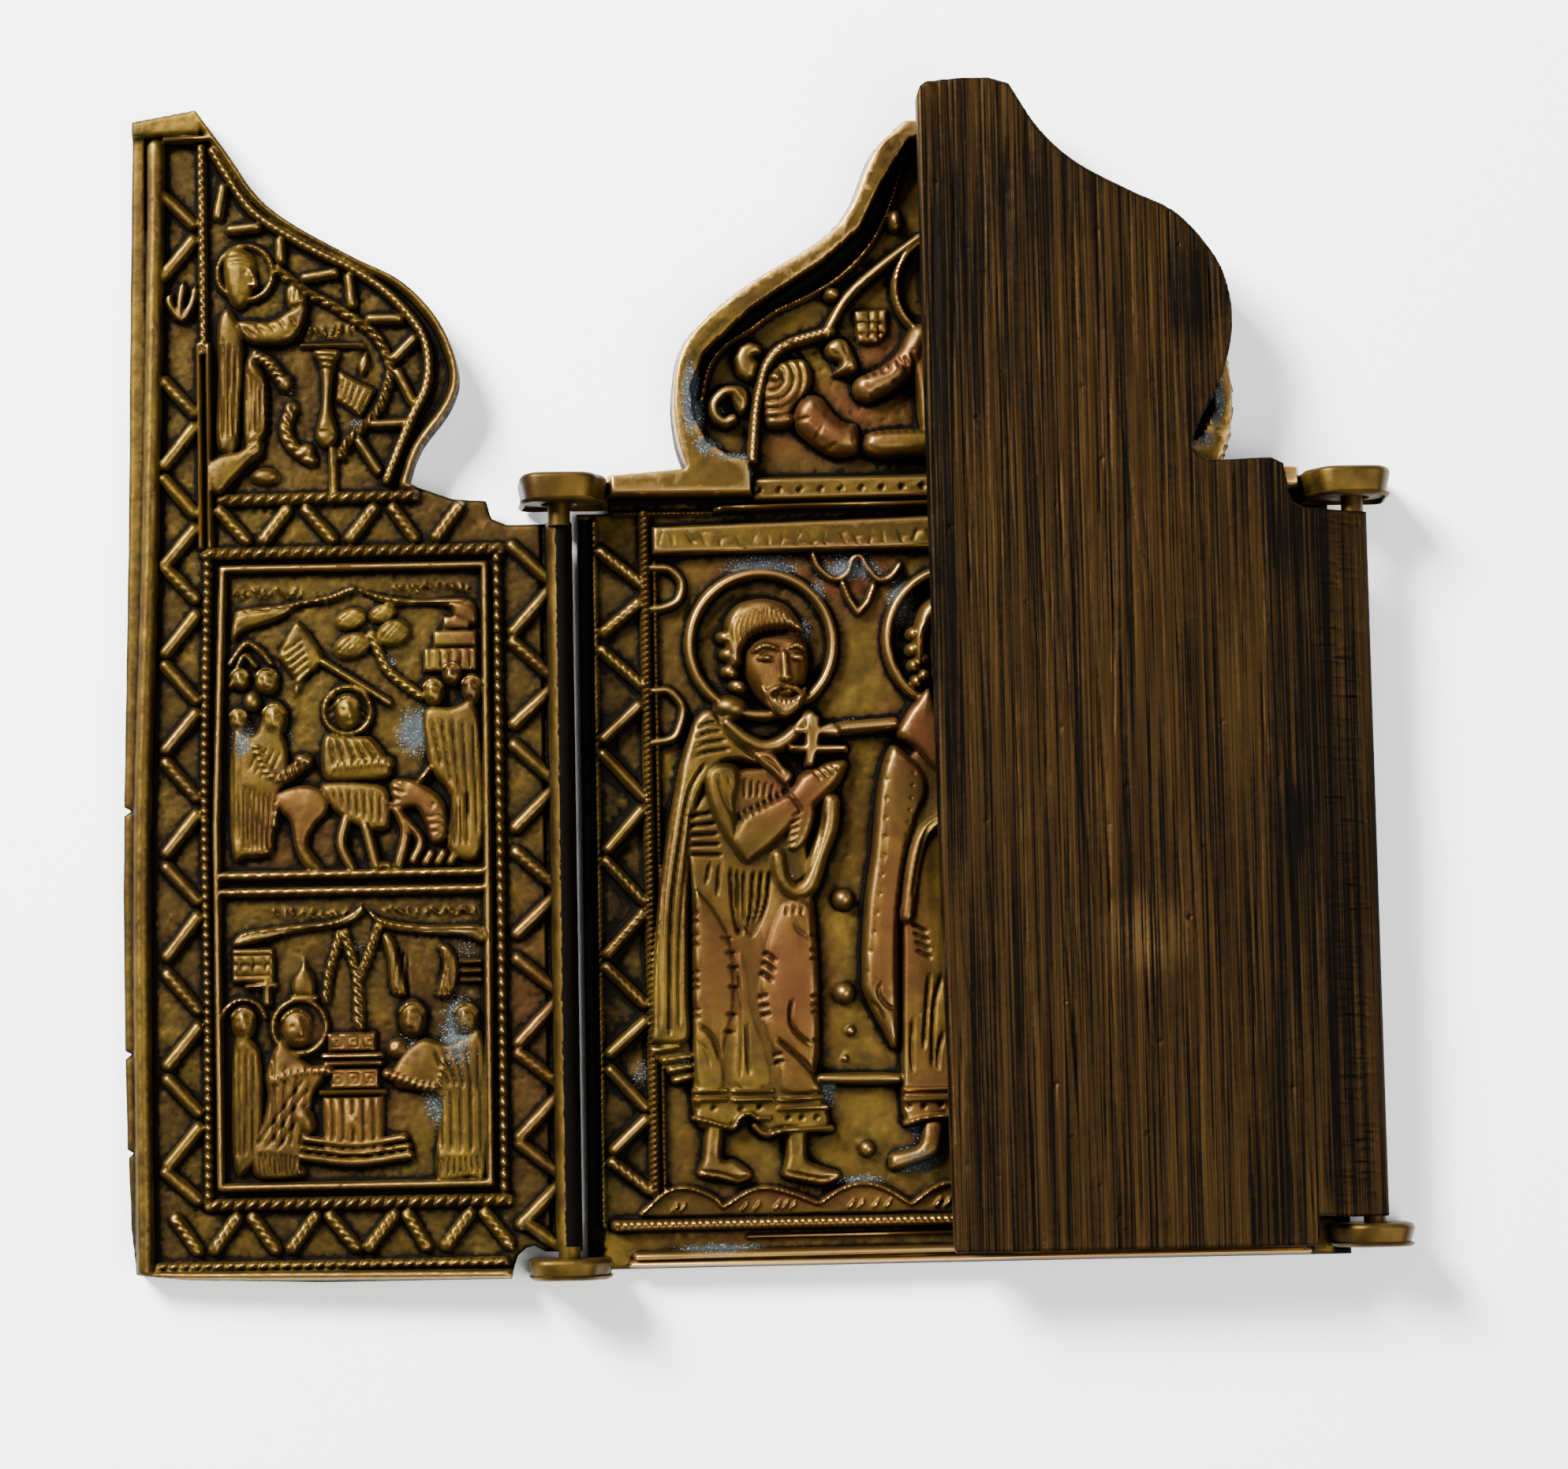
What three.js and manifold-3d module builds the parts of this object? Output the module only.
// A pocket triptych: three cast brass leaves, hinged on pins that turn in four lugs.
// Millimetres. +X right, +Y towards the crest, +Z up, off the relief. The origin is on the
// centre leaf's flat back. The left leaf lies open with its free edge on the table, and the
// right leaf is folded over the centre.

import * as THREE from 'three';
import { mergeVertices } from 'three/addons/utils/BufferGeometryUtils.js';
import Module from 'manifold-3d';

const wasm = await Module();
wasm.setup();

// ---------- driving dimensions ----------

const AXIS_X = 32.4;            // hinge axes, each side of the middle
const AXIS_Z = 4.5;             // and above the back
const PIN_RADIUS = 0.9;
const HOLE_RADIUS = 1.3;
const ROUND_SIDES = 12;
const LUG_REACH = 3.2;          // a lug runs this far past the axis
const LUG_TOP = 7.1;

// centre leaf, heights above its back
const CREST_STEPS = 10;
const PLATE_EDGE = 31.0;
const BASE_Y = -31.0;
const LEDGE_Y = 33.4;
const GROUND = 1.5;
const RIM_TOP = 4.15;
const RIM_WIDTH = 1.7;
const FRAME_TOP = 2.9;
const ZIGZAG_TOP = 2.5;
const FIGURE_TOP = 3.5;
const HEAD_TOP = 4.0;
const SAINT_X = 16.2;

// wings, heights above the plane of their front rims
const WING_THICKNESS = 2.9;
const WING_GROUND = -1.3;
const WING_RIM = 0.0;
const WING_EDGE_BAND = -0.6;
const WING_FRAME = -0.35;
const WING_ZIGZAG = -0.5;
const WING_FIGURE = -0.3;
const WING_HEAD = -0.05;
const BAR_TOP = 0.5;
const BAR_HALF = 1.0;           // the hinge bar runs this far each side of the axis
const BEVEL_START = 4.0;        // the filed bevel on the back starts here,
const BEVEL_DEPTH = 1.9;        // and has taken this much off at the hinge side

const LEFT_FREE_EDGE = 35.6;
const EDGE_CLEARANCE = 0.02;    // degrees that keep the free edge just off the table
const DROOP = THREE.MathUtils.radToDeg(Math.asin((AXIS_Z - WING_THICKNESS) / LEFT_FREE_EDGE))
  - EDGE_CLEARANCE;

// a wing's frames: distances from the hinge axis, and heights up the leaf
const BORDER_NEAR = 5.2;
const BORDER_FAR = 28.6;
const BORDER_TOP = 27.5;
const BORDER_FOOT = -25.2;
const PANEL_NEAR = 6.4;
const PANEL_FAR = 27.5;
const PANEL_TOP = 26.2;
const PANEL_FOOT = -23.9;
const DIVIDER = 0.6;
const CREST_LINE = 32.1;
const FOOT_LINE = -0.3;         // from the foot of the hinge bar
const FREE_BAND = [29.7, 32.0]; // the zigzag by the free edge,
const HINGE_BAND = [1.5, 4.2];  // the one by the hinge,
const FOOT_BAND = [-28.4, -26.2];
const TOP_BAND = [28.6, 31.0];
const BAND_PITCH = 7.9;

// ---------- solids ----------

function solid(geometry) {
  const bare = geometry.clone();
  bare.deleteAttribute('normal');
  bare.deleteAttribute('uv');
  const merged = mergeVertices(bare, 1e-4);
  return new wasm.Manifold(new wasm.Mesh({
    numProp: 3,
    vertProperties: new Float32Array(merged.attributes.position.array),
    triVerts: new Uint32Array(merged.index.array),
  }));
}

// Joins geometries and solids in pairs, so that each join stays small.
function unite(parts) {
  let group = parts.map((part) => (part.isBufferGeometry ? solid(part) : part));
  while (group.length > 1) {
    const next = [];
    for (let i = 0; i < group.length; i += 2) {
      next.push(i + 1 < group.length ? group[i].add(group[i + 1]) : group[i]);
    }
    group = next;
  }
  return group[0];
}

function toGeometry(body) {
  const mesh = body.getMesh();
  const geometry = new THREE.BufferGeometry();
  geometry.setAttribute('position', new THREE.BufferAttribute(new Float32Array(mesh.vertProperties), 3));
  geometry.setIndex(new THREE.BufferAttribute(new Uint32Array(mesh.triVerts), 1));
  geometry.computeVertexNormals();
  return geometry;
}

const flat = (points) => new THREE.Shape(points.map(([x, y]) => new THREE.Vector2(x, y)));

// An outline with square edges.
function plate(points, bottom, top) {
  const geometry = new THREE.ExtrudeGeometry(flat(points), { depth: top - bottom, bevelEnabled: false });
  geometry.translate(0, 0, bottom);
  return geometry;
}

// An outline whose sides slope in towards its top.
function pad(points, bottom, top, slope = 0.3) {
  const clockwise = THREE.ShapeUtils.area(flat(points).getPoints()) < 0;
  const outline = clockwise ? [...points].reverse() : points;
  const summit = inset(outline, slope);
  const geometry = new THREE.ExtrudeGeometry(flat(outline), { depth: top - bottom, bevelEnabled: false });
  const position = geometry.attributes.position;
  for (let i = 0; i < position.count; i += 1) {
    if (position.getZ(i) > 0) {
      const [px, py] = [position.getX(i), position.getY(i)];
      const corner = outline.findIndex(([x, y]) => Math.hypot(x - px, y - py) < 1e-4);
      position.setXY(i, ...summit[corner]);
    }
  }
  geometry.translate(0, 0, bottom);
  return geometry;
}

// The outline of a stroke of constant width, mitred at its corners.
function strokeOutline(points, width) {
  const left = [];
  const right = [];
  points.forEach(([x, y], i) => {
    const before = points[Math.max(i - 1, 0)];
    const after = points[Math.min(i + 1, points.length - 1)];
    const a = new THREE.Vector2(x - before[0], y - before[1]).normalize();
    const b = new THREE.Vector2(after[0] - x, after[1] - y).normalize();
    const along = a.add(b).normalize();
    left.push([x - along.y * width / 2, y + along.x * width / 2]);
    right.unshift([x + along.y * width / 2, y - along.x * width / 2]);
  });
  return [...left, ...right];
}

function ridge(points, width, bottom, top, slope = 0.25) {
  return pad(strokeOutline(points, width), bottom, top, Math.min(slope, width * 0.35));
}

// A straight bar with a roof-shaped top.
function bar([x1, y1], [x2, y2], width, bottom, top) {
  const length = Math.hypot(x2 - x1, y2 - y1);
  const section = flat([[-width / 2, bottom], [width / 2, bottom], [0, top]]);
  const geometry = new THREE.ExtrudeGeometry(section, { depth: length, bevelEnabled: false });
  geometry.translate(0, 0, -length / 2);
  geometry.rotateX(Math.PI / 2);
  geometry.rotateZ(Math.atan2(y2 - y1, x2 - x1) + Math.PI / 2);
  geometry.translate((x1 + x2) / 2, (y1 + y2) / 2, 0);
  return geometry;
}

// A low dome, flat below.
function dome(x, y, rx, ry, bottom, top, sides = 6) {
  const profile = [[0, 0], [1, 0], [0.72, 0.72], [0, 1]].map(([r, z]) => new THREE.Vector2(r, z));
  const geometry = new THREE.LatheGeometry(profile, sides);
  geometry.rotateX(Math.PI / 2);
  geometry.scale(rx, ry, top - bottom);
  geometry.translate(x, y, bottom);
  return geometry;
}

function disc(x, y, radius, bottom, top, sides = 9) {
  const geometry = new THREE.CylinderGeometry(radius - 0.2, radius, top - bottom, sides);
  geometry.rotateX(Math.PI / 2);
  geometry.translate(x, y, (top + bottom) / 2);
  return geometry;
}

function ring(x, y, radius, width, bottom, top, sides = 12) {
  const inner = radius - width;
  const profile = [[inner, bottom], [radius, bottom], [radius - width / 2, top], [inner, bottom]]
    .map(([r, z]) => new THREE.Vector2(r, z));
  const geometry = new THREE.LatheGeometry(profile, sides);
  geometry.rotateX(Math.PI / 2);
  geometry.translate(x, y, 0);
  return geometry;
}

const box = (x1, x2, y1, y2, bottom, top) => plate([[x1, y1], [x2, y1], [x2, y2], [x1, y2]], bottom, top);

// A geometry as a mirror standing on x = 0 shows it, with its faces still pointing out.
function mirrored(geometry) {
  const flipped = geometry.index ? geometry.toNonIndexed() : geometry.clone();
  flipped.scale(-1, 1, 1);
  const { array } = flipped.attributes.position;
  for (let i = 0; i < array.length; i += 9) {
    const second = array.slice(i + 3, i + 6);
    array.copyWithin(i + 3, i + 6, i + 9);
    array.set(second, i + 6);
  }
  return flipped;
}

// ---------- outlines ----------

function curve(points, count) {
  const line = new THREE.SplineCurve(points.map(([x, y]) => new THREE.Vector2(x, y)));
  return line.getPoints(count).map((p) => [p.x, p.y]);
}

// Moves each corner of a closed outline inwards; the outline runs anticlockwise.
function inset(points, distance) {
  return points.map(([x, y], i) => {
    const [px, py] = points[(i + points.length - 1) % points.length];
    const [nx, ny] = points[(i + 1) % points.length];
    const a = new THREE.Vector2(x - px, y - py).normalize();
    const b = new THREE.Vector2(nx - x, ny - y).normalize();
    const normal = new THREE.Vector2(-(a.y + b.y), a.x + b.x).normalize();
    const stretch = Math.max(normal.dot(new THREE.Vector2(-a.y, a.x)), 0.5);
    return [x + normal.x * distance / stretch, y + normal.y * distance / stretch];
  });
}

const mirror = (points) => points.map(([x, y]) => [-x, y]).reverse();

// Half of the centre's ogee crest, from the ledge up to the flat top.
const CENTRE_CREST = [[22.2, 33.9], [22.9, 36.3], [23.1, 40.0], [22.0, 44.3], [17.4, 48.6], [11.0, 52.5],
  [8.4, 55.2], [6.4, 59.7], [3.6, 62.6]];

function centreOutline() {
  const crest = curve(CENTRE_CREST, CREST_STEPS);
  const right = [[PLATE_EDGE, BASE_Y], [PLATE_EDGE, 30.4], [28.4, 30.4], [28.4, LEDGE_Y], ...crest];
  return [...right, ...mirror(right)];
}

// A wing's outline, from the free edge's foot round by the hinge side. The first number of each
// point runs from the hinge axis towards the free edge.
const LEFT_WING = {
  side: -1,
  foot: [[34.7, -30.6], [19.7, -31.5], [4.8, -31.5], [4.5, -29.9], [2.9, -28.9], [2.0, -29.4]],
  barEnds: [-29.4, 29.4],
  pinEnds: [-31.5, 32.9],
  crestArc: [[13.4, 35.4], [12.4, 38.0], [12.6, 41.4], [14.6, 45.4], [18.0, 47.6], [20.2, 48.8]],
  shoulder: [[4.3, 29.4], [5.75, 30.0], [6.0, 31.4], [8.65, 31.6]],
  crest: [[12.3, 32.9], [11.2, 35.8], [8.8, 39.1], [8.1, 42.0], [9.5, 46.0], [12.5, 49.4], [16.6, 51.6],
    [21.6, 54.5], [24.4, 56.9], [26.6, 60.2], [29.3, 64.0]],
  top: [[34.5, 63.1], [35.0, 30.0], [LEFT_FREE_EDGE, 0.0], [35.4, -21.0]],
};

const RIGHT_WING = {
  side: 1,
  foot: [[34.1, -30.1], [5.1, -30.1], [4.9, -27.7], [2.0, -27.9]],
  barEnds: [-27.9, 29.2],
  pinEnds: [-30.3, 32.8],
  crestArc: [[15.4, 35.8], [14.4, 39.0], [14.4, 43.4], [16.0, 47.6], [18.6, 50.0], [21.0, 51.4]],
  shoulder: [[4.3, 29.3], [5.6, 30.6], [6.0, 33.0], [7.0, 33.5]],
  crest: [[12.0, 33.3], [13.3, 34.4], [12.6, 36.8], [11.2, 39.2], [10.0, 43.0], [9.9, 46.5], [11.0, 50.0],
    [14.1, 53.7], [17.8, 55.6], [22.2, 58.0], [25.2, 60.8], [27.6, 64.6]],
  top: [[29.3, 65.1], [34.4, 64.8], [35.1, 63.8], [35.0, 40.0], [34.6, 0.0]],
};

function wingOutline(wing) {
  const [low, high] = wing.barEnds;
  const points = [...wing.foot, [-BAR_HALF, low], [-BAR_HALF, high], ...wing.shoulder,
    ...curve(wing.crest, CREST_STEPS), ...wing.top];
  const placed = points.map(([u, y]) => [wing.side * u, y]);
  return wing.side > 0 ? placed.reverse() : placed;
}

// ---------- ornament ----------

// Pairs of bars leaning to and fro inside a band that runs up (or across) a leaf. The fractions
// are where each bar starts and ends along its pair's share of the band.
function zigzag([low, high], from, to, pitch, upright, bottom, top, width = 0.9) {
  const count = Math.round((to - from) / pitch);
  const step = (to - from) / count;
  const at = (across, along) => (upright ? [across, along] : [along, across]);
  return Array.from({ length: count }, (_, i) => {
    const along = (fraction) => from + (i + fraction) * step;
    return [
      bar(at(low, along(0.08)), at(high, along(0.42)), width, bottom, top),
      bar(at(high, along(0.58)), at(low, along(0.92)), width, bottom, top),
    ];
  }).flat();
}

// Bars leaning to and fro between two lines of equal point count.
function zigzagBetween(outer, inner, bottom, top, width = 0.8) {
  const bars = [];
  for (let i = 0; i + 1 < outer.length; i += 1) {
    const [from, to] = i % 2 ? [inner[i], outer[i + 1]] : [outer[i], inner[i + 1]];
    const mix = (t) => [from[0] + (to[0] - from[0]) * t, from[1] + (to[1] - from[1]) * t];
    bars.push(bar(mix(0.2), mix(0.8), width, bottom, top));
  }
  return bars;
}

// Short upright strokes in a row, standing for a line of writing.
function strokes(x1, x2, y1, y2, pitch, bottom, top) {
  const count = Math.floor((x2 - x1) / pitch);
  return Array.from({ length: count }, (_, i) => {
    const x = x1 + (i + 0.5) * pitch;
    const lean = (i % 3 - 1) * 0.25;
    return bar([x - lean, y1], [x + lean, y2], 0.7, bottom, top);
  });
}

// ---------- wing scenes, each in a field about 20 wide and 23.5 high ----------

const SUNK = 0.3;               // how far relief is rooted in the ground
const CENTRE_ROOT = GROUND - SUNK;
const ROOT = WING_GROUND - SUNK;
const LOW = WING_GROUND + 0.45;
const MID = WING_GROUND + 0.7;
const STROKE_PITCH = 1.55;
const WIDE_PITCH = 2.6;

// Moves solids drawn in a scene's own corner to their place on the leaf.
const place = (parts, x, y) => parts.map((part) => part.translate(x, y, 0));

function person(x, y, height, lean, turn) {
  const head = height * 0.1;
  const shoulder = height * 0.18;
  const hip = [x - lean * 0.5, y + height * 0.45];
  const neck = [x, y + height - head * 2.2];
  return [
    dome(x + turn * 0.2, y + height - head, head * 0.9, head * 1.25, ROOT, WING_HEAD),
    pad([[x - lean - shoulder, y], [x - lean + shoulder, y], [hip[0] + shoulder * 1.1, hip[1]],
      [neck[0] + shoulder * 0.9, neck[1]], [neck[0] - shoulder * 0.9, neck[1]],
      [hip[0] - shoulder * 1.1, hip[1]]], ROOT, WING_FIGURE),
    bar([x - lean, y + height * 0.06], hip, 0.7, ROOT, WING_FIGURE + 0.25),
  ];
}

// A rider on a donkey, between two groups of people, before a hill, a palm and a tower.
function entryScene() {
  return [
    ...strokes(0.4, 5.2, 21.8, 23.4, STROKE_PITCH, ROOT, LOW),
    ...strokes(13.4, 19.6, 21.9, 23.4, STROKE_PITCH, ROOT, LOW),
    ridge([[0.2, 18.9], [1.0, 20.4], [8.7, 21.8], [10.0, 22.8], [11.2, 21.9], [18.2, 21.3], [20.0, 19.6]],
      0.9, ROOT, MID),
    pad([[3.6, 17.2], [5.1, 20.2], [6.2, 19.2], [7.6, 17.0], [6.4, 15.0], [5.2, 13.9]], ROOT, LOW),
    dome(9.6, 20.0, 1.3, 0.9, ROOT, MID), dome(9.9, 17.9, 1.4, 1.0, ROOT, MID),
    dome(12.1, 20.9, 1.1, 1.0, ROOT, MID), dome(13.4, 19.1, 1.4, 1.1, ROOT, MID),
    ridge([[11.2, 19.0], [12.6, 16.6], [15.2, 13.9]], 0.8, ROOT, MID),
    ridge([[7.7, 16.9], [14.9, 13.0]], 0.6, ROOT, MID),
    box(15.9, 19.9, 15.6, 18.2, ROOT, LOW),
    pad([[16.8, 18.0], [19.2, 18.0], [18.6, 20.0], [17.4, 20.0]], ROOT, LOW),
    disc(9.4, 13.3, 2.0, ROOT, LOW), dome(9.4, 12.9, 1.0, 1.6, ROOT, WING_HEAD),
    pad([[7.8, 10.8], [10.9, 10.9], [12.6, 8.2], [13.2, 6.9], [10.4, 5.9], [7.7, 6.6]], ROOT, WING_FIGURE),
    ridge([[7.9, 9.2], [9.6, 7.0], [12.9, 7.8]], 1.1, ROOT, WING_HEAD),
    pad([[7.7, 6.4], [12.7, 6.0], [12.6, 2.6], [10.9, 2.4], [9.6, 4.4], [7.9, 4.9]], ROOT, WING_FIGURE),
    pad([[3.8, 5.6], [5.0, 6.7], [7.8, 6.4], [8.0, 4.2], [6.8, 2.0], [7.8, 0.2], [6.2, 0.2], [5.0, 2.4]],
      ROOT, WING_FIGURE, 0.2),
    ridge([[12.3, 4.2], [11.6, 2.6], [11.7, 0.4]], 1.3, ROOT, WING_FIGURE),
    pad([[13.0, 6.9], [16.2, 5.9], [17.4, 5.4], [17.0, 2.2], [16.0, 2.0], [15.3, 4.4], [13.4, 5.2]],
      ROOT, WING_FIGURE),
    ...person(2.7, 1.2, 14.8, -0.6, 1),
    dome(0.8, 15.0, 0.9, 1.1, ROOT, MID), dome(0.7, 12.2, 0.9, 1.2, ROOT, MID),
    ridge([[2.2, 9.9], [3.9, 7.6], [5.9, 8.9]], 1.2, ROOT, WING_HEAD),
    ...person(16.5, 6.4, 8.8, -0.6, -1), ...person(19.2, 1.0, 14.4, 0.2, -1),
    dome(17.8, 15.4, 0.9, 1.0, ROOT, MID),
    ridge([[16.3, 0.3], [17.6, 0.3]], 1.0, ROOT, MID),
  ];
}

// Two standing groups bowing over a stepped altar, under a scalloped cloud.
function altarScene() {
  return [
    ...strokes(0.3, 10.0, 21.9, 23.3, STROKE_PITCH, ROOT, LOW),
    ...strokes(12.0, 20.4, 21.9, 23.3, STROKE_PITCH, ROOT, LOW),
    ridge([[0.3, 20.9], [8.1, 21.6], [9.6, 21.9], [10.8, 23.0], [12.2, 21.9], [15.8, 20.2], [20.4, 19.9]],
      0.9, ROOT, MID),
    box(0.2, 3.7, 16.9, 19.9, ROOT, LOW), ridge([[2.9, 16.6], [2.9, 14.8]], 0.7, ROOT, LOW),
    dome(5.9, 17.2, 0.6, 1.2, ROOT, MID),
    ridge([[8.7, 20.9], [8.0, 15.6]], 0.8, ROOT, MID),
    ridge([[9.6, 20.9], [10.5, 17.1], [10.5, 13.3]], 0.9, ROOT, MID),
    ridge([[12.0, 21.0], [10.7, 17.4]], 0.9, ROOT, MID),
    ridge([[12.9, 20.3], [13.8, 16.1]], 0.9, ROOT, MID),
    ridge([[17.5, 19.5], [18.0, 17.6], [17.3, 15.6]], 1.1, ROOT, MID),
    box(7.9, 12.1, 10.6, 13.0, ROOT, MID), box(7.6, 12.5, 9.2, 10.4, ROOT, LOW),
    box(8.1, 12.2, 4.2, 9.1, ROOT, MID),
    pad([[6.3, 2.9], [10.4, 2.4], [14.4, 3.0], [14.2, 4.2], [6.7, 4.2]], ROOT, MID),
    disc(0.9, 14.1, 1.7, ROOT, LOW), dome(0.9, 13.9, 1.0, 1.6, ROOT, WING_HEAD),
    disc(6.2, 13.4, 2.2, ROOT, LOW), dome(5.6, 13.3, 1.4, 1.9, ROOT, WING_HEAD),
    pad([[3.6, 11.8], [5.2, 10.2], [7.9, 9.8], [5.0, 3.6], [5.7, 2.8], [5.7, 0.8], [1.8, 0.8], [0.4, 2.2],
      [2.4, 6.4]], ROOT, WING_FIGURE),
    ridge([[3.4, 8.6], [5.3, 9.3], [7.8, 9.4]], 1.0, ROOT, WING_HEAD),
    bar([1.2, 2.6], [4.4, 7.4], 0.6, ROOT, WING_HEAD), bar([3.4, 3.0], [5.0, 7.0], 0.6, ROOT, WING_HEAD),
    ridge([[1.0, 11.2], [1.1, 7.4], [0.9, 3.6]], 1.3, ROOT, WING_FIGURE),
    dome(14.8, 13.8, 1.3, 1.8, ROOT, WING_HEAD), dome(13.3, 11.5, 0.9, 0.9, ROOT, MID),
    dome(19.3, 13.6, 1.1, 1.7, ROOT, WING_HEAD),
    pad([[15.6, 11.9], [17.6, 10.8], [19.4, 7.0], [20.2, 3.0], [18.9, 0.7], [16.9, 0.7], [17.0, 7.4],
      [13.4, 7.6], [13.2, 9.6]], ROOT, WING_FIGURE),
    bar([17.2, 6.4], [19.6, 2.0], 0.6, ROOT, WING_HEAD), bar([16.2, 9.6], [18.8, 6.6], 0.6, ROOT, WING_HEAD),
    ridge([[13.3, 8.6], [16.2, 8.3], [17.2, 10.4]], 1.1, ROOT, WING_HEAD),
  ];
}

// A bowing figure before a column, a small building and a spring, inside the crest.
function crestScene() {
  return [
    disc(4.3, 17.9, 2.2, ROOT, LOW), dome(3.9, 17.7, 1.5, 2.0, ROOT, WING_HEAD),
    pad([[2.6, 15.4], [4.6, 13.6], [5.6, 9.0], [5.9, 4.4], [3.0, 3.0], [2.0, 0.9], [1.5, 2.8], [2.4, 6.0],
      [2.2, 12.0]], ROOT, WING_FIGURE),
    ridge([[3.6, 12.6], [6.0, 12.4], [8.3, 13.2], [8.2, 15.6]], 1.7, ROOT, WING_HEAD),
    bar([4.4, 4.6], [4.5, 10.0], 0.6, ROOT, WING_HEAD), bar([5.3, 5.0], [5.4, 9.2], 0.6, ROOT, WING_HEAD),
    ridge([[5.8, 10.3], [7.2, 8.6]], 1.2, ROOT, WING_FIGURE), dome(7.3, 8.6, 0.8, 0.9, ROOT, WING_FIGURE),
    ridge([[4.2, 3.4], [6.0, 4.2]], 1.3, ROOT, WING_HEAD), dome(6.1, 1.0, 1.1, 0.6, ROOT, MID),
    ridge([[7.0, 6.4], [8.0, 5.8], [8.3, 4.0], [9.4, 2.6]], 1.1, ROOT, WING_FIGURE),
    box(9.0, 13.0, 11.7, 13.3, ROOT, LOW),
    pad([[9.9, 11.0], [12.2, 11.0], [11.5, 9.6], [11.7, 5.6], [12.1, 3.6], [10.2, 3.6], [10.5, 9.6]],
      ROOT, WING_FIGURE),
    pad([[12.1, 9.2], [14.7, 7.8], [13.6, 5.8], [11.9, 7.2]], ROOT, LOW),
    dome(14.2, 9.6, 0.6, 1.1, ROOT, MID),
    ridge([[11.6, 0.6], [11.6, 3.6]], 0.8, ROOT, LOW),
  ];
}

// A mother seated beside a crib, for the leaf whose front is folded out of sight.
function cradleScene() {
  return [
    ...strokes(0.6, 8.6, 21.8, 23.2, WIDE_PITCH, ROOT, LOW),
    ...strokes(11.8, 19.8, 21.8, 23.2, WIDE_PITCH, ROOT, LOW),
    ridge([[0.4, 20.4], [5.0, 21.2], [10.2, 22.6], [15.4, 21.2], [20.0, 20.4]], 0.9, ROOT, MID),
    pad([[2.0, 14.0], [5.4, 19.2], [8.0, 16.4], [10.6, 20.0], [14.6, 15.6], [17.6, 18.6], [19.6, 14.0]],
      ROOT, LOW),
    disc(7.2, 12.6, 2.1, ROOT, LOW), dome(7.2, 12.4, 1.2, 1.6, ROOT, WING_HEAD),
    pad([[5.0, 10.6], [9.2, 10.6], [11.4, 6.6], [12.4, 3.2], [3.2, 3.2], [3.8, 7.4]], ROOT, WING_FIGURE),
    box(12.6, 17.6, 6.6, 8.8, ROOT, MID), dome(14.0, 9.4, 0.9, 0.9, ROOT, WING_FIGURE),
    bar([5.4, 4.0], [7.4, 9.0], 0.6, ROOT, WING_HEAD), bar([8.4, 4.0], [8.6, 9.0], 0.6, ROOT, WING_HEAD),
    ...person(17.8, 1.0, 11.0, 0.4, -1), ...person(1.8, 1.0, 12.0, -0.3, 1),
    ridge([[0.6, 1.2], [7.0, 1.9], [13.0, 1.2], [19.8, 1.8]], 0.8, ROOT, MID),
  ];
}

// A standing figure with raised arms between two others, for the same leaf.
function gatheringScene() {
  return [
    ...strokes(0.6, 8.6, 21.8, 23.2, WIDE_PITCH, ROOT, LOW),
    ...strokes(11.8, 19.8, 21.8, 23.2, WIDE_PITCH, ROOT, LOW),
    ridge([[0.4, 19.8], [4.8, 20.8], [10.2, 19.8], [15.6, 20.8], [20.0, 19.8]], 0.9, ROOT, MID),
    disc(10.3, 16.6, 2.3, ROOT, LOW), dome(10.3, 16.4, 1.3, 1.7, ROOT, WING_HEAD),
    pad([[8.6, 14.4], [12.0, 14.4], [12.6, 8.6], [13.2, 3.0], [7.4, 3.0], [8.0, 8.6]], ROOT, WING_FIGURE),
    ridge([[8.9, 13.2], [7.3, 11.4], [7.2, 8.6]], 1.1, ROOT, WING_HEAD),
    ridge([[11.7, 13.2], [13.2, 11.4], [13.4, 8.6]], 1.1, ROOT, WING_HEAD),
    bar([9.4, 3.6], [9.6, 9.6], 0.6, ROOT, WING_HEAD), bar([11.2, 3.6], [11.0, 9.6], 0.6, ROOT, WING_HEAD),
    ...person(3.4, 1.2, 14.8, 0, 1), ...person(17.4, 1.2, 14.8, 0, -1),
  ];
}

// ---------- the leaves ----------

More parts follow.
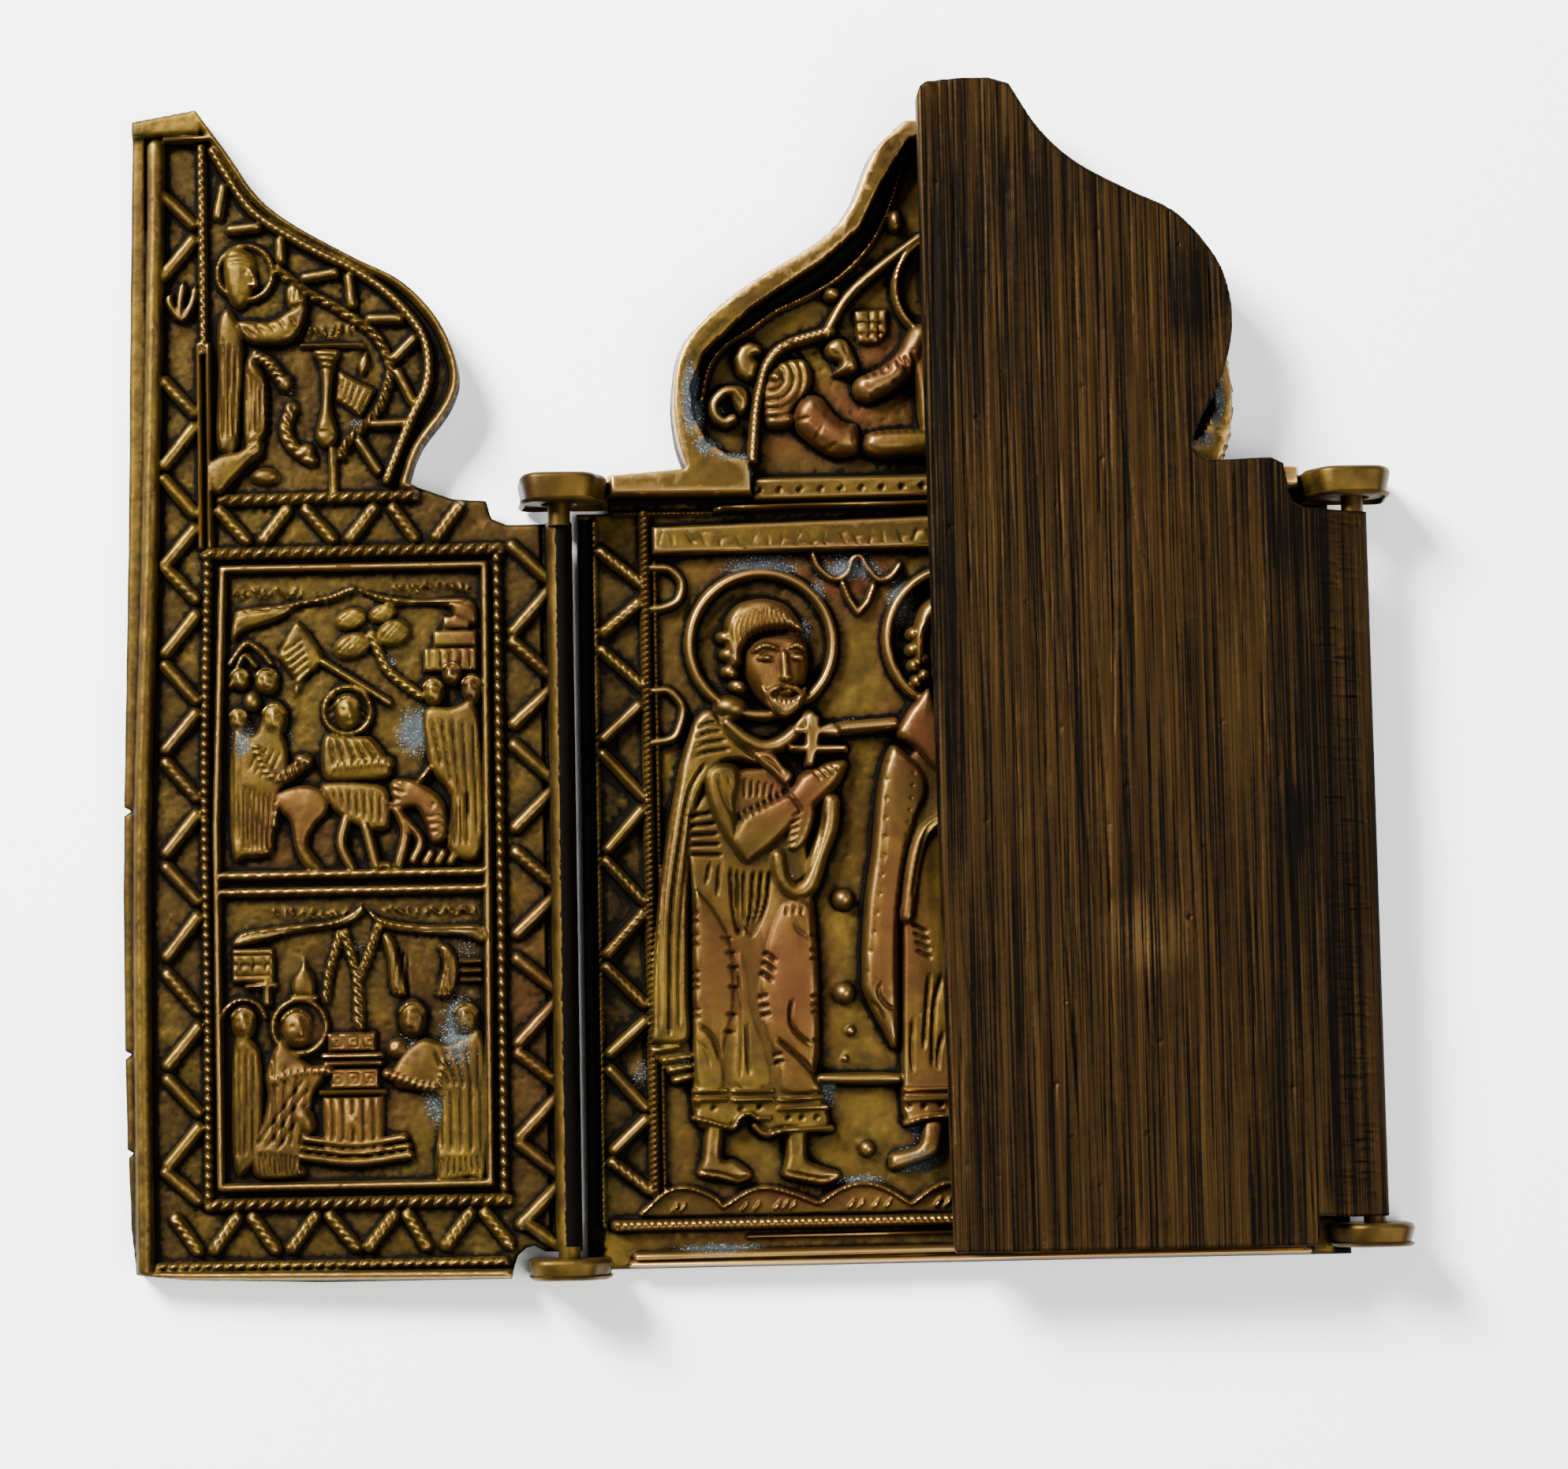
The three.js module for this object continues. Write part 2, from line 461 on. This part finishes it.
// A leaf's slab, sunk inside its rim, with a lower band outside the ridge on the free edge and the
// filed bevel along the hinge side of its back.
function wingSlab(spec) {
  const { side } = spec;
  const across = (points) => points.map(([u, y]) => [side * u, y]);
  const foot = spec.barEnds[0] - 0.7;
  const sunk = across([[32.2, foot], [32.2, 61.0], [29.9, 61.4]]);
  const crestInner = curve(spec.crest, CREST_STEPS).reverse().slice(1, -1);
  const lastIn = across(crestInner.map(([u, y]) => [u + 1.0, y]));
  const hingeIn = across([[5.0, 30.8], [4.9, 28.6], [BAR_HALF, 28.6], [BAR_HALF, foot + 1.7],
    [5.4, foot + 1.5], [5.4, foot]]);
  const pocket = plate([...sunk, ...lastIn, ...hingeIn], WING_GROUND, WING_RIM + 1);
  const [from, to] = [side * 33.3, side * 37].sort((a, b) => a - b);
  const band = box(from, to, -40, 60.6, WING_EDGE_BAND, WING_RIM + 1);

  const start = side * (BEVEL_START + 0.01);
  const end = side * -(BAR_HALF + 1);
  const wedge = flat([[start, -WING_THICKNESS - 1], [start, -WING_THICKNESS],
    [end, -WING_THICKNESS + BEVEL_DEPTH * 1.2], [end, -WING_THICKNESS - 1]]);
  const bevel = new THREE.ExtrudeGeometry(wedge, { depth: 80, bevelEnabled: false });
  bevel.translate(0, 0, -40);
  bevel.rotateX(Math.PI / 2);

  const slab = solid(plate(wingOutline(spec), -WING_THICKNESS, WING_RIM));
  return slab.subtract(solid(pocket)).subtract(solid(band)).subtract(solid(bevel));
}

// The hinge bar and the pins cast on its ends.
function wingHinge(spec) {
  const [low, high] = spec.barEnds;
  const [foot, head] = spec.pinEnds;
  const pin = new THREE.CylinderGeometry(PIN_RADIUS, PIN_RADIUS, head - foot, ROUND_SIDES);
  pin.translate(0, (foot + head) / 2, 0);
  return [pin, ridge([[0, low + 0.05], [0, high - 0.05]], BAR_HALF * 2 - 0.06, -0.9, BAR_TOP, 0.35)];
}

// A border of ridges round two fields, and the crest's base line.
function wingFrames(spec) {
  const line = (from, to, width) => ridge([from, to].map(([u, y]) => [spec.side * u, y]), width,
    ROOT, WING_FRAME);
  const foot = spec.barEnds[0] + FOOT_LINE;
  return [
    line([BORDER_NEAR, BORDER_FOOT], [BORDER_NEAR, BORDER_TOP], 0.8),
    line([BORDER_FAR, BORDER_FOOT], [BORDER_FAR, 61.0], 0.8),
    line([BORDER_NEAR, BORDER_TOP], [BORDER_FAR, BORDER_TOP], 0.9),
    line([BORDER_NEAR, BORDER_FOOT], [BORDER_FAR, BORDER_FOOT], 0.9),
    line([BORDER_NEAR, foot], [32.4, foot], 0.8),
    line([13.0, CREST_LINE], [PANEL_FAR, CREST_LINE], 0.9),
    ...[PANEL_TOP, DIVIDER, PANEL_FOOT].map((y) => line([PANEL_NEAR, y], [PANEL_FAR, y], 0.6)),
    ...[PANEL_NEAR, PANEL_FAR].map((u) => line([u, PANEL_FOOT], [u, PANEL_TOP], 0.6)),
  ];
}

// Zigzag bands down both sides, across the foot and above the fields, and round the crest.
function wingBands(spec) {
  const { side } = spec;
  const z = [ROOT, WING_ZIGZAG];
  const level = (u1, u2) => [side * u1, side * u2].sort((a, b) => a - b);
  const beside = (band) => band.map((u) => side * u);
  const crest = curve(spec.crest, 9).slice(1);
  const near = crest.map(([u, y], i) => [side * (u + (i > 6 ? 2.4 : 2.0)), y - (i > 1 ? 1.0 : -0.4)]);
  const far = curve(spec.crestArc.map(([u, y]) => [side * u, y]), 6);
  return [
    ...zigzag(beside(FREE_BAND), -28.4, 58.0, BAND_PITCH, true, ...z),
    ...zigzag(beside(HINGE_BAND), -27.4, 28.2, BAND_PITCH, true, ...z),
    ...zigzag(FOOT_BAND, ...level(6.0, 31.4), 5.1, false, ...z, 0.8),
    ...zigzag(TOP_BAND, ...level(6.2, 27.4), 7.0, false, ...z, 0.8),
    ridge(near, 0.9, ROOT, WING_FRAME),
    ridge(far, 0.7, ROOT, MID),
    ...zigzagBetween(near.slice(0, 7).map(([x, y]) => [x + side * 0.7, y - 0.2]), far, ...z),
  ];
}

const wing = (spec, scenes) => unite([wingSlab(spec), ...wingHinge(spec), ...wingFrames(spec),
  ...wingBands(spec), ...scenes]);

function leftWing() {
  const scenes = [
    ...place(entryScene(), -27.0, 1.7), ...place(altarScene(), -27.0, -23.6),
    ...place(crestScene(), -29.4, 32.4),
  ];
  return wing(LEFT_WING, scenes);
}

function rightWing() {
  const crest = place(crestScene(), -29.4, 32.6).map(mirrored);
  const scenes = [...place(cradleScene(), 6.6, 2.0), ...place(gatheringScene(), 6.6, -23.2), ...crest];
  return wing(RIGHT_WING, scenes);
}

// A lug: an upright tab with rounded corners and the pin's hole, from the leaf's edge outwards.
function lug(side, y1, y2, inner) {
  const end = AXIS_X + LUG_REACH;
  const shape = flat([[end, 0], [end, 5.4], [end - 0.7, 6.7], [end - 1.6, LUG_TOP], [inner + 1.4, LUG_TOP],
    [inner + 0.5, 6.6], [inner + 0.2, 5.6], [inner - 0.6, RIM_TOP], [inner - 0.6, 0]]
    .map(([x, z]) => [side * x, z]));
  const tab = new THREE.ExtrudeGeometry(shape, { depth: y2 - y1, bevelEnabled: false });
  tab.rotateX(Math.PI / 2);
  tab.translate(0, y2, 0);
  const holeCorner = HOLE_RADIUS / Math.cos(Math.PI / ROUND_SIDES);
  const hole = new THREE.CylinderGeometry(holeCorner, holeCorner, y2 - y1 + 1, ROUND_SIDES);
  hole.translate(side * AXIS_X, (y1 + y2) / 2, AXIS_Z);
  return solid(tab).subtract(solid(hole));
}

// A saint standing to the front, three-quarters life in relief, drawn about its own axis.
function saint(x, mirrored) {
  const m = mirrored ? -1 : 1;
  const at = (dx, y) => [x + m * dx, y];
  const many = (points) => points.map(([dx, y]) => at(dx, y));
  const root = CENTRE_ROOT;
  const low = GROUND + 1.1;
  return [
    ring(x, 19.4, 6.2, 0.9, root, FRAME_TOP),
    dome(...at(-0.2, 18.6), 3.2, 4.6, root, HEAD_TOP, 7),
    dome(...at(0.6, 17.2), 2.3, 3.0, root, HEAD_TOP + 0.1, 6),
    dome(...at(1.0, 14.9), 1.2, 1.6, root, HEAD_TOP + 0.1, 6),
    pad(many([[-4.4, 14.0], [4.2, 14.0], [5.0, 9.0], [5.2, -1.0], [5.4, -17.0], [-6.2, -17.0], [-6.6, -1.0],
      [-5.6, 9.0]]), root, low, 0.5),
    pad(many([[-5.0, 14.2], [-3.0, 13.0], [-5.0, 4.0], [-6.0, -10.4], [-8.9, -10.4], [-8.4, 2.0],
      [-6.8, 10.4]]), root, FIGURE_TOP - 0.3, 0.5),
    ridge(many([[-3.8, 9.2], [-2.8, 5.0], [-0.6, 3.6], [3.6, 8.6], [5.6, 10.0]]), 2.9, root, FIGURE_TOP, 0.6),
    ridge(many([[2.8, 6.0], [4.4, 3.6], [3.6, 0.8], [2.0, 2.6]]), 1.6, root, FIGURE_TOP - 0.3, 0.5),
    ridge(many([[-2.6, 13.4], [-0.4, 11.6], [2.4, 13.6]]), 1.3, root, FIGURE_TOP, 0.4),
    ridge(many([[4.4, 14.0], [4.4, 9.6]]), 0.9, root, HEAD_TOP),
    ridge(many([[2.8, 12.6], [6.2, 12.6]]), 0.8, root, HEAD_TOP),
    ridge(many([[2.6, 11.2], [6.8, 11.2]]), 0.8, root, HEAD_TOP - 0.1),
    dome(...at(2.0, 9.6), 1.2, 1.4, root, FIGURE_TOP, 6),
    ...[-4.4, -0.4, 3.4].map((dx, i) => bar(at(dx * 0.9, 1.0 - (i % 2)), at(dx * 1.2, -16.4), 1.0,
      root, low + 0.5)),
    ridge(many([[-6.4, -18.6], [0.0, -18.3], [5.8, -18.9]]), 3.2, root, FIGURE_TOP - 0.6, 0.4),
    ridge(many([[-4.6, -20.2], [-4.6, -23.0], [-1.6, -23.6]]), 1.6, root, low + 0.3, 0.4),
    ridge(many([[2.2, -20.2], [2.2, -23.0], [5.2, -23.8]]), 1.6, root, low + 0.3, 0.4),
  ];
}

// Half of the crest's relief: a winding branch with leaves, beside the middle figure's sleeve.
function crestHalf(side) {
  const root = CENTRE_ROOT;
  const many = (points) => points.map(([x, y]) => [side * x, y]);
  const middle = GROUND + 1.2;
  return [
    ridge(many(curve([[2.9, 52.6], [6.8, 49.1], [9.4, 46.6], [12.2, 44.5], [15.4, 42.0], [16.3, 38.0],
      [16.4, 34.8]], 6)), 1.1, root, FIGURE_TOP - 0.2, 0.35),
    dome(side * 16.9, 43.2, 1.3, 1.4, root, middle), dome(side * 18.8, 39.2, 1.4, 1.7, root, middle),
    dome(side * 9.5, 48.5, 0.7, 0.7, root, middle, 6), dome(side * 4.3, 54.5, 0.7, 1.0, root, middle, 6),
    dome(side * 14.0, 41.0, 2.4, 2.3, root, GROUND + 0.9, 8),
    ridge(many([[13.4, 38.6], [11.0, 37.8], [8.6, 36.2], [2.6, 36.0]]), 3.2, root, FIGURE_TOP - 0.2, 0.7),
    ridge(many([[6.8, 40.6], [4.2, 42.2], [2.6, 44.8]]), 2.4, root, FIGURE_TOP, 0.6),
    dome(side * 8.6, 43.6, 1.2, 1.9, root, FIGURE_TOP - 0.3, 7),
    box(...[side * 5.4, side * 7.9].sort((a, b) => a - b), 44.6, 47.2, root, GROUND + 0.6),
    ridge(many(curve([[3.0, 58.0], [4.8, 54.0], [7.4, 50.8], [12.2, 47.4], [17.0, 44.4], [19.8, 41.0],
      [19.9, 37.6]], 7)), 0.6, root, GROUND + 0.9),
  ];
}

// The crest's rim: the outline at full height, less the hollow inside it.
function crestRim() {
  const crest = curve(CENTRE_CREST, CREST_STEPS);
  const inner = crest.slice(3, -1).map(([x, y]) => {
    const [across, down] = y > 53 ? [1.05, 0.3] : [0.75, 0.8];
    return [x - RIM_WIDTH * across, y - RIM_WIDTH * down];
  });
  const [tipX, tipY] = crest.at(-1);
  const hollow = [[16.6, 30.9], [16.6, 34.5], [19.4, 35.4], [21.0, 37.4], ...inner,
    [tipX - 0.9, tipY - RIM_WIDTH]];
  const rim = [[28.4, 31.4], [28.4, LEDGE_Y], ...crest];
  const whole = solid(plate([...rim, ...mirror(rim)], 0.5, RIM_TOP));
  return whole.subtract(solid(plate([...hollow, ...mirror(hollow)], GROUND, RIM_TOP + 1)));
}

// One side of the leaf: its beaded uprights and zigzag, marks that stand for letters, and knots.
function centreSide(s) {
  const line = (points, width, top) => ridge(points.map(([x, y]) => [s * x, y]), width, CENTRE_ROOT, top);
  const knot = (x, y, radius) => dome(s * x, y, radius, radius, CENTRE_ROOT, FRAME_TOP);
  return [
    line([[29.6, -28.6], [29.6, 29.6]], 0.8, GROUND + 0.7),
    line([[25.4, -27.0], [25.4, 30.2]], 1.0, FRAME_TOP),
    line([[24.3, -25.6], [24.3, 26.6]], 0.5, FRAME_TOP - 0.5),
    ...zigzag([s * 28.8, s * 26.5], -26.0, 27.6, 8.1, true, CENTRE_ROOT, ZIGZAG_TOP, 1.0),
    ...crestHalf(s),
    knot(9.8, -1.6, 0.9), knot(9.9, -9.1, 0.9), knot(8.2, -21.6, 0.8),
    line([[11.8, -16.0], [6.6, -16.0]], 0.9, FRAME_TOP),
    line([[9.5, 12.6], [5.8, 12.7]], 1.0, FIGURE_TOP),
    line([[12.0, 26.0], [10.4, 24.4], [8.6, 26.0], [6.8, 24.4]], 0.6, GROUND + 0.9),
    line([[9.8, 23.6], [8.5, 21.4], [7.2, 23.4]], 0.6, GROUND + 0.9),
    ...[24.0, 14.0].map((y) => line([[23.4, y + 1.5], [22.4, y], [23.4, y - 1.5]], 0.7, FRAME_TOP - 0.3)),
  ];
}

// The bands above and below the figures, and the hills that they stand on.
function centreBands() {
  const hills = Array.from({ length: 9 }, (_, i) => [24.0 - i * 6.0, i % 2 ? -24.6 : -25.8]);
  const foot = [[-24.8, -26.7], [24.8, -26.7]];
  return [
    box(-16.2, 16.2, 31.5, 33.0, CENTRE_ROOT, FRAME_TOP + 0.2),
    ridge([[-18.4, 30.9], [18.4, 30.9]], 0.5, CENTRE_ROOT, FRAME_TOP),
    ridge([[-27.4, 30.2], [-20.0, 30.2]], 0.5, CENTRE_ROOT, FRAME_TOP - 0.6),
    ridge([[20.0, 30.2], [27.4, 30.2]], 0.5, CENTRE_ROOT, FRAME_TOP - 0.6),
    pad([[-24.8, 26.9], [24.8, 26.9], [24.8, 29.5], [-24.8, 29.5]], CENTRE_ROOT, FRAME_TOP, 0.25),
    ridge([[-28.4, -27.4], [28.4, -27.4]], 1.0, CENTRE_ROOT, FRAME_TOP),
    ridge([[-30.6, -30.2], [30.6, -30.2]], 0.9, CENTRE_ROOT, GROUND + 0.9),
    pad([...foot, ...hills], CENTRE_ROOT, GROUND + 0.8, 0.15),
  ];
}

// The figure in the middle, and the blessing figure above it in the crest.
function middleFigures() {
  const halves = [-1, 1].flatMap((s) => [
    pad([[2.0, 15.0], [5.0, 11.6], [7.0, 3.0], [7.6, -8.4], [5.0, -12.4], [3.6, -4.0], [2.4, 7.0]]
      .map(([x, y]) => [s * x, y]), CENTRE_ROOT, FIGURE_TOP, 0.5),
    ridge([[1.4, -20.0], [2.0, -22.8], [5.0, -23.8]].map(([x, y]) => [s * x, y]), 1.6,
      CENTRE_ROOT, GROUND + 1.4, 0.4),
  ]);
  return [
    ...halves,
    ring(0, 19.6, 6.2, 0.9, CENTRE_ROOT, FRAME_TOP), dome(0, 18.8, 3.3, 4.5, CENTRE_ROOT, HEAD_TOP, 7),
    dome(0, 17.4, 2.2, 3.0, CENTRE_ROOT, HEAD_TOP + 0.1, 6),
    pad([[-4.6, 14.2], [4.6, 14.2], [5.8, 8.0], [5.6, 0.0], [5.0, -17.0], [-5.0, -17.0], [-5.6, 0.0],
      [-5.8, 8.0]], CENTRE_ROOT, GROUND + 1.1, 0.5),
    ridge([[-3.0, 5.0], [0.0, 7.8], [3.0, 5.0]], 1.8, CENTRE_ROOT, FIGURE_TOP, 0.5),
    ridge([[-4.6, -18.4], [4.6, -18.4]], 3.0, CENTRE_ROOT, FIGURE_TOP - 0.6, 0.4),
    ring(0, 49.6, 4.4, 0.7, CENTRE_ROOT, FRAME_TOP),
    dome(0, 48.8, 2.3, 3.0, CENTRE_ROOT, HEAD_TOP - 0.2, 7),
    pad([[-2.4, 46.0], [2.4, 46.0], [3.6, 41.0], [3.0, 34.6], [-3.0, 34.6], [-3.6, 41.0]],
      CENTRE_ROOT, FIGURE_TOP - 0.1, 0.6),
  ];
}

function centreLeaf() {
  return unite([
    plate(centreOutline(), 0, GROUND), crestRim(), ...centreSide(-1), ...centreSide(1), ...centreBands(),
    ...saint(-SAINT_X, false), ...saint(SAINT_X, true), ...middleFigures(),
    lug(-1, 30.7, 33.2, 29.0), lug(1, 30.4, 32.9, 29.0),
    lug(-1, -31.7, -29.9, 29.6), lug(1, -30.4, -28.4, 29.6),
  ]);
}

// ---------- scene graph ----------

const brass = (color) => new THREE.MeshStandardMaterial({ color, roughness: 0.5, metalness: 0.9 });

function leafMesh(name, body, color) {
  const mesh = new THREE.Mesh(toGeometry(body), brass(color));
  mesh.name = name;
  return mesh;
}

const triptych = new THREE.Group();
triptych.add(leafMesh('centre_leaf', centreLeaf(), 0x7d5f2e));

const left = leafMesh('left_wing', leftWing(), 0x86662f);
left.position.set(-AXIS_X, 0, AXIS_Z);
left.rotation.y = THREE.MathUtils.degToRad(-DROOP);
triptych.add(left);

const right = leafMesh('right_wing', rightWing(), 0x6e5426);
right.position.set(AXIS_X, 0, AXIS_Z);
right.rotation.y = -Math.PI;
triptych.add(right);

export default triptych;
